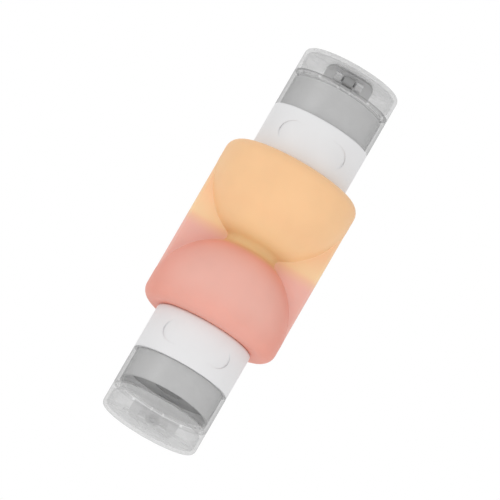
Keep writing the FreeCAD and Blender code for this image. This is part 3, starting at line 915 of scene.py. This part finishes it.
class BOTTLE_OT_inner_caps(bpy.types.Operator):
    """Make the grey inner caps with their slit valves and valve rings"""

    bl_idname = "bottle.inner_caps"
    bl_label = "Inner caps"

    def execute(self, context):
        sizes = context.scene.bottle_sizes
        caps = context.scene.bottle_caps
        colours = context.scene.bottle_colours
        grey = finish("satin_polypropylene_grey", colours)
        dark = finish("satin_polypropylene_charcoal", colours)
        seal = finish("moulded_silicone_seal", colours)
        skirt_bore = RING_RADIUS - caps.skirt_wall
        well = RING_RADIUS - caps.rim_wall
        cap_foot = COLLAR_TOP + caps.collar_gap
        ledge = DECK_TOP - caps.valve_seat_depth
        seat_radius = VALVE_RADIUS + sizes.fit
        spout = caps.spout_radius
        valve_side = spout - sizes.fit
        dish = DECK_TOP - caps.valve_dish
        ring_bore = spout - RING_OVERHANG
        half_slit = caps.slit_width / 2
        half_long = caps.slit_length / 2
        slope_outline = [
            Vector((-RING_RADIUS - MM, RIM_TOP + caps.rim_drop * MM / (2 * RING_RADIUS))),
            Vector((RING_RADIUS, RIM_TOP - caps.rim_drop)), Vector((RING_RADIUS + MM, RIM_TOP + MM)),
            Vector((-RING_RADIUS - MM, RIM_TOP + MM)),
        ]
        for end in ENDS:
            cap = lathe("inner_cap", [
                (skirt_bore, cap_foot, FINE_ROUND), (RING_RADIUS, cap_foot, FINE_ROUND),
                (RING_RADIUS, RIM_TOP, SMALL_ROUND), (well, RIM_TOP, SMALL_ROUND),
                (well, DECK_TOP, WELL_ROUND), (seat_radius, DECK_TOP), (seat_radius, ledge),
                (spout, ledge), (spout, DECK_BOTTOM), (skirt_bore, DECK_BOTTOM),
            ])
            combine(cap, prism(slope_outline, "X", -CAP_RADIUS, CAP_RADIUS), "DIFFERENCE")
            finish_piece(cap, end, "inner_cap", end + "_cap", grey, "screw_cap")
            depth = -sizes.thread_depth * CAP_THREAD_SHARE
            ridge = thread_ridge(skirt_bore, depth, sizes.thread_lead, cap_foot, DECK_BOTTOM)
            finish_piece(ridge, end, "inner_cap_thread", end + "_cap", grey)
            valve = lathe("valve", [
                (0.0, VALVE_FOOT), (valve_side, dish - caps.valve_membrane, FINE_ROUND),
                (valve_side, ledge), (VALVE_RADIUS, ledge), (VALVE_RADIUS, DECK_TOP),
                (caps.valve_opening, DECK_TOP, SMALL_ROUND),
                (caps.valve_opening * DISH_FLOOR_SHARE, dish, SMALL_ROUND),
                (0.0, VALVE_FOOT + caps.valve_membrane),
            ], SMALL_STEPS, SOFT_ARC_STEPS)
            for across, along in ((half_slit, half_long), (half_long, half_slit)):
                outline = box_outline(-across, across, -along, along)
                combine(valve, prism(outline, "Z", VALVE_FOOT - MM, DECK_TOP), "DIFFERENCE")
            finish_piece(valve, end, "slit_valve", end + "_cap", seal, "valve")
            ring = lathe("ring", [
                (ring_bore, DECK_TOP), (RETAINER_RADIUS, DECK_TOP),
                (RETAINER_RADIUS, RETAINER_TOP, SMALL_ROUND), (ring_bore, RETAINER_TOP, SMALL_ROUND),
            ], SMALL_STEPS)
            finish_piece(ring, end, "valve_ring", end + "_cap", dark, "valve_retainer")
        return {"FINISHED"}


def ear_limits(caps):
    """Where the sleeve's hinge ears start and end, out from the middle."""
    start = BARREL_END + caps.ear_fit
    return start, start + caps.ear_thickness


def both_sides(start, end):
    """The spans from start to end on the left and on the right."""
    return (-end, -start), (start, end)


def hinge_arm(outline, radius, span):
    """A block along X that ends in a rod on the hinge's axis."""
    return combine(prism(outline, "X", *span), hinge_rod(radius, *span), "UNION")


class BOTTLE_OT_clear_sleeves(bpy.types.Operator):
    """Make the clear sleeves round the inner caps, with the ears that hold the hinge pins"""

    bl_idname = "bottle.clear_sleeves"
    bl_label = "Clear sleeves"

    def execute(self, context):
        caps = context.scene.bottle_caps
        colours = context.scene.bottle_colours
        clear = finish("clear_polypropylene", colours)
        satin = finish("satin_clear_polypropylene", colours)
        pressed = finish("pressed_clear_polypropylene", colours)
        inner = CAP_RADIUS - caps.shell_wall
        well = RING_RADIUS - caps.rim_wall
        cap_foot = COLLAR_TOP + caps.collar_gap
        ledge_top = RIM_TOP + caps.ledge
        shell_top = ledge_top + caps.register_depth
        ear_start, ear_end = ear_limits(caps)
        ear_outline = box_outline(
            HINGE_Y - caps.ear_radius, HINGE_Y + caps.ear_radius, RIM_TOP, HINGE_HEIGHT
        )

        def on_ledge(spot):
            return RIM_TOP - SLACK < spot.z < shell_top - SLACK and spot.xy.length < inner + SLACK

        def in_joint(spot):
            return on_ledge(spot) or spot.z < cap_foot + SLACK

        # The ledge's faces by the hinge take the satin finish: a darker strip of painted shade
        def by_hinge(spot):
            by_well = spot.xy.length < well + ROUND_SLACK
            by_pocket = spot.z > ledge_top + SLACK and abs(spot.x) < caps.pocket_half_width
            return on_ledge(spot) and spot.y < 0.0 and (by_well or by_pocket)

        for end in ENDS:
            sleeve = lathe("sleeve", [
                (inner, cap_foot, TIGHT_ROUND), (CAP_RADIUS, cap_foot, caps.edge_round),
                (CAP_RADIUS, shell_top, caps.edge_round), (inner, shell_top, TIGHT_ROUND),
                (inner, ledge_top, SMALL_ROUND), (well, ledge_top, SMALL_ROUND), (well, RIM_TOP),
                (inner, RIM_TOP),
            ])
            for span in both_sides(ear_start, ear_end):
                combine(sleeve, hinge_arm(ear_outline, caps.ear_radius, span), "UNION")
            bore = hinge_rod(PIN_RADIUS + caps.ear_fit, -ear_end - MM, ear_end + MM)
            combine(sleeve, bore, "DIFFERENCE")
            joint_faces = faces_where(sleeve, in_joint)
            shaded_strip_faces = faces_where(sleeve, by_hinge)
            finish_piece(sleeve, end, "clear_sleeve", end + "_cap", clear, "cap_shell")
            face_finish(sleeve, pressed, joint_faces)
            face_finish(sleeve, satin, shaded_strip_faces)
        return {"FINISHED"}


def pocket_block(half_width, roof, corner, low, back):
    """A block with round upper corners that reaches from outside the lid to a pocket's back."""
    outline = rounded([
        (-half_width, low), (half_width, low),
        (half_width, roof, corner), (-half_width, roof, corner),
    ], POCKET_STEPS)
    return prism(outline, "Y", -CAP_RADIUS - MM, back)


class BOTTLE_OT_clear_lids(bpy.types.Operator):
    """Make the clear flip lids with their hinge pockets and knuckles"""

    bl_idname = "bottle.clear_lids"
    bl_label = "Clear flip lids"

    def execute(self, context):
        caps = context.scene.bottle_caps
        milky = finish("milky_clear_polypropylene", context.scene.bottle_colours)
        satin = finish("satin_clear_polypropylene", context.scene.bottle_colours)
        lid_bottom = RIM_TOP + caps.ledge + caps.register_depth + caps.seam_gap
        inner = CAP_RADIUS - caps.lid_wall
        register_outer = CAP_RADIUS - caps.shell_wall - caps.register_clearance
        register_inner = register_outer - caps.register_wall
        foot_top = lid_bottom + caps.lid_foot
        ceiling = LID_TOP - caps.lid_roof
        outside = [(CAP_RADIUS, lid_bottom, caps.edge_round), (CAP_RADIUS, LID_TOP, caps.lid_edge_round)]
        wall = caps.pocket_wall
        half_pocket = caps.pocket_half_width
        half_outside = half_pocket + wall
        barrel_top = HINGE_HEIGHT + BARREL_RADIUS
        back = HINGE_Y + BARREL_RADIUS + caps.pocket_clearance
        roof = barrel_top + caps.pocket_headroom
        gap_outline = box_outline(-half_outside, half_outside, LID_FOOT - MM, lid_bottom)
        relief = caps.heel_relief * math.sqrt(2.0)
        heel_outline = [
            Vector((-CAP_RADIUS - relief, roof)), Vector((-CAP_RADIUS, roof - relief)),
            Vector((-CAP_RADIUS + relief, roof)), Vector((-CAP_RADIUS, roof + relief)),
        ]
        arm_outline = box_outline(HINGE_Y, back + wall / 2, barrel_top - caps.arm_thickness, barrel_top)
        knuckle_start = ear_limits(caps)[1] + caps.knuckle_gap

        def in_pocket(spot):
            within = abs(spot.x) < half_pocket + SLACK and spot.y < back + SLACK
            level = lid_bottom + SLACK < spot.z < roof + SLACK and spot.xy.length < CAP_RADIUS - SLACK
            on_back = abs(spot.y - back) < SLACK
            on_roof = spot.z > barrel_top + SLACK
            on_side = abs(spot.x) > half_pocket - SLACK
            return within and level and (on_back or on_roof or on_side)

        for end in ENDS:
            lid = lathe("lid", [
                (register_inner, LID_FOOT, TIGHT_ROUND), (register_outer, LID_FOOT, TIGHT_ROUND),
                (register_outer, lid_bottom), *outside, (0.0, LID_TOP), (0.0, ceiling),
                (inner, ceiling, caps.lid_inner_round),
                (inner, foot_top + inner - register_inner, WIDE_ROUND),
                (register_inner, foot_top, WIDE_ROUND),
            ])
            envelope = lathe("envelope", [(0.0, lid_bottom), *outside, (0.0, LID_TOP)])
            walls = pocket_block(
                half_outside, roof + wall, caps.pocket_corner + wall, lid_bottom, back + wall
            )
            combine(lid, combine(walls, envelope, "INTERSECT"), "UNION")
            room = pocket_block(half_pocket, roof, caps.pocket_corner, LID_FOOT - MM, back)
            combine(lid, room, "DIFFERENCE")
            combine(lid, prism(gap_outline, "Y", -CAP_RADIUS, 0.0), "DIFFERENCE")
            combine(lid, prism(heel_outline, "X", -half_pocket, half_pocket), "DIFFERENCE")
            for span in both_sides(knuckle_start, PIN_END):
                combine(lid, hinge_arm(arm_outline, BARREL_RADIUS, span), "UNION")
            bore = hinge_rod(PIN_RADIUS + caps.pin_clearance, -PIN_END - MM, PIN_END + MM)
            combine(lid, bore, "DIFFERENCE")
            pocket_faces = faces_where(lid, in_pocket)
            finish_piece(lid, end, "clear_lid", end + "_lid", milky, "flip_lid")
            face_finish(lid, satin, pocket_faces)
        return {"FINISHED"}


class BOTTLE_OT_hinge_pins(bpy.types.Operator):
    """Make the hinge pins and the dark bushes on them"""

    bl_idname = "bottle.hinge_pins"
    bl_label = "Hinge pins"

    def execute(self, context):
        dark = finish("satin_polypropylene_dark", context.scene.bottle_colours)
        clear = finish("clear_polypropylene", context.scene.bottle_colours)
        bore = PIN_RADIUS + context.scene.bottle_caps.ear_fit
        lay_down = Matrix.Rotation(math.pi / 2, 4, "Y")
        to_hinge = Matrix.Translation((0.0, HINGE_Y, HINGE_HEIGHT)) @ lay_down
        for end in ENDS:
            pin = lathe("pin", [
                (0.0, -PIN_END), (PIN_RADIUS, -PIN_END, FINE_ROUND),
                (PIN_RADIUS, PIN_END, FINE_ROUND), (0.0, PIN_END),
            ], ROD_STEPS, PIN_ARC_STEPS)
            pin.data.transform(to_hinge)
            finish_piece(pin, end, "pin", end + "_cap", clear, "hinge_pin")
            bush = lathe("bush", [
                (bore, -BARREL_END), (BARREL_RADIUS, -BARREL_END, FINE_ROUND),
                (BARREL_RADIUS, BARREL_END, FINE_ROUND), (bore, BARREL_END),
            ], BUSH_STEPS, PIN_ARC_STEPS)
            bush.data.transform(to_hinge)
            finish_piece(bush, end, "bush", end + "_cap", dark, "hinge_bush")
        return {"FINISHED"}


def pale_floor(tree, place, rgb, radius):
    """A matt pale sheet that fades to white far off; only its upper side shows, and light passes it."""
    away = add_node(tree, "ShaderNodeVectorMath", {0: place}, operation="LENGTH").outputs["Value"]
    matt = add_node(tree, "ShaderNodeBsdfDiffuse", {"Color": opaque(rgb)}).outputs["BSDF"]
    white = add_node(tree, "ShaderNodeEmission", {"Strength": 1.0}).outputs["Emission"]
    sheet = mix_shaders(tree, ramp(tree, away, parts(FLOOR_FADE, radius)), matt, white)
    seen = add_node(tree, "ShaderNodeLightPath").outputs["Is Camera Ray"]
    from_below = add_node(tree, "ShaderNodeNewGeometry").outputs["Backfacing"]
    shows = maths(tree, "MULTIPLY", seen, maths(tree, "SUBTRACT", 1.0, from_below))
    nothing = add_node(tree, "ShaderNodeBsdfTransparent").outputs["BSDF"]
    return mix_shaders(tree, shows, nothing, sheet)


def light_all_round(ambient):
    """A world that is white to look at, in gloss and through clear walls, and gives a soft even light."""
    world = bpy.data.worlds.new("soft_white_studio")
    bpy.context.scene.world = world
    world.use_nodes = True
    tree = world.node_tree
    tree.nodes.clear()
    ray = add_node(tree, "ShaderNodeLightPath").outputs
    direct = maths(tree, "MAXIMUM", ray["Is Camera Ray"], ray["Is Glossy Ray"])
    shown = maths(tree, "MAXIMUM", direct, ray["Is Transmission Ray"])
    soft, white = [
        add_node(tree, "ShaderNodeBackground", {"Color": WHITE, "Strength": level}).outputs["Background"]
        for level in (ambient, 1.0)
    ]
    add_node(tree, "ShaderNodeOutputWorld", {"Surface": mix_shaders(tree, shown, soft, white)})


def area_light(name, place, target, breadth, watts):
    """A soft square light aimed at a point, out of the camera's sight."""
    lamp = bpy.data.lights.new(name, "AREA")
    lamp.size = breadth
    lamp.energy = watts
    made = bpy.data.objects.new(name, lamp)
    made.location = place
    made.visible_camera = False
    made.rotation_euler = (target - place).to_track_quat("-Z", "Y").to_euler()
    bpy.context.scene.collection.objects.link(made)


class BOTTLE_OT_stage(bpy.types.Operator):
    """Make the pale floor, the soft light and the camera"""

    bl_idname = "bottle.stage"
    bl_label = "Stage"

    def execute(self, context):
        stage = context.scene.bottle_stage
        centre = (CAD_LOW + CAD_HIGH) / 2
        height = CAD_HIGH.z - CAD_LOW.z

        radius = FLOOR_REACH * height
        sheet = bpy.data.meshes.new("floor")
        corners = [(-radius, -radius), (radius, -radius), (radius, radius), (-radius, radius)]
        sheet.from_pydata([(x, y, CAD_LOW.z - FLOOR_DROP) for x, y in corners], [], [(0, 1, 2, 3)])
        sheet.materials.append(material_of("matt_pale_sheet", pale_floor, stage.floor_colour, radius))
        floor = bpy.data.objects.new("floor", sheet)
        context.scene.collection.objects.link(floor)

        light_all_round(stage.ambient)
        for name, way in LAMP_WAYS.items():
            place = centre + Vector(way).normalized() * (LAMP_REACH * height)
            area_light(name, place, centre, LAMP_BREADTH * height, getattr(stage, name + "_power"))

        rise = stage.elevation
        forward = Vector((0.0, math.cos(rise), -math.sin(rise)))
        level_up = Vector((0.0, math.sin(rise), math.cos(rise)))
        level_right = Vector((1.0, 0.0, 0.0))
        up = level_up * math.cos(stage.lean) - level_right * math.sin(stage.lean)
        right = level_right * math.cos(stage.lean) + level_up * math.sin(stage.lean)
        pixel = stage.frame_width / PICTURE_PIXELS
        off_right = (BOTTLE_PIXEL[0] - PICTURE_PIXELS / 2) * pixel
        off_up = (PICTURE_PIXELS / 2 - BOTTLE_PIXEL[1]) * pixel
        target = centre - right * off_right - up * off_up

        lens = bpy.data.cameras.new("camera")
        lens.lens = stage.lens
        lens.sensor_width = SENSOR_WIDTH
        distance = stage.frame_width * lens.lens / lens.sensor_width
        lens.clip_start = distance / CLIP_SPAN
        lens.clip_end = distance * CLIP_SPAN
        camera = bpy.data.objects.new("camera", lens)
        axes = Matrix((right, up, -forward)).transposed().to_4x4()
        camera.matrix_world = Matrix.Translation(target - forward * distance) @ axes
        context.scene.collection.objects.link(camera)
        context.scene.camera = camera
        context.scene.view_settings.view_transform = "Standard"
        return {"FINISHED"}


class BOTTLE_PT_pieces(bpy.types.Panel):
    """The bottle's pieces and settings"""

    bl_idname = "BOTTLE_PT_pieces"
    bl_label = "Travel bottle"
    bl_space_type = "VIEW_3D"
    bl_region_type = "UI"
    bl_category = "Bottle"

    def draw(self, context):
        for operator in OPERATORS:
            self.layout.operator(operator.bl_idname)
        for group_name in GROUPS:
            group = getattr(context.scene, group_name)
            for key in group.__annotations__:
                self.layout.prop(group, key)


OPERATORS = (
    BOTTLE_OT_silicone_bowls,
    BOTTLE_OT_collars,
    BOTTLE_OT_necks,
    BOTTLE_OT_inner_caps,
    BOTTLE_OT_clear_sleeves,
    BOTTLE_OT_clear_lids,
    BOTTLE_OT_hinge_pins,
    BOTTLE_OT_stage,
)
GROUPS = {
    "bottle_sizes": BottleSizes,
    "bottle_caps": CapSizes,
    "bottle_colours": BottleColours,
    "bottle_stage": StageSettings,
}


def register():
    for group_name, group in GROUPS.items():
        bpy.utils.register_class(group)
        setattr(bpy.types.Scene, group_name, PointerProperty(type=group))
    for operator in OPERATORS:
        bpy.utils.register_class(operator)
    bpy.utils.register_class(BOTTLE_PT_pieces)


def unregister():
    bpy.utils.unregister_class(BOTTLE_PT_pieces)
    for operator in reversed(OPERATORS):
        bpy.utils.unregister_class(operator)
    for group_name, group in GROUPS.items():
        delattr(bpy.types.Scene, group_name)
        bpy.utils.unregister_class(group)


def main():
    register()
    bpy.ops.bottle.silicone_bowls()
    bpy.ops.bottle.collars()
    bpy.ops.bottle.necks()
    bpy.ops.bottle.inner_caps()
    bpy.ops.bottle.clear_sleeves()
    bpy.ops.bottle.clear_lids()
    bpy.ops.bottle.hinge_pins()
    bpy.ops.bottle.stage()


if __name__ == "__main__":
    main()
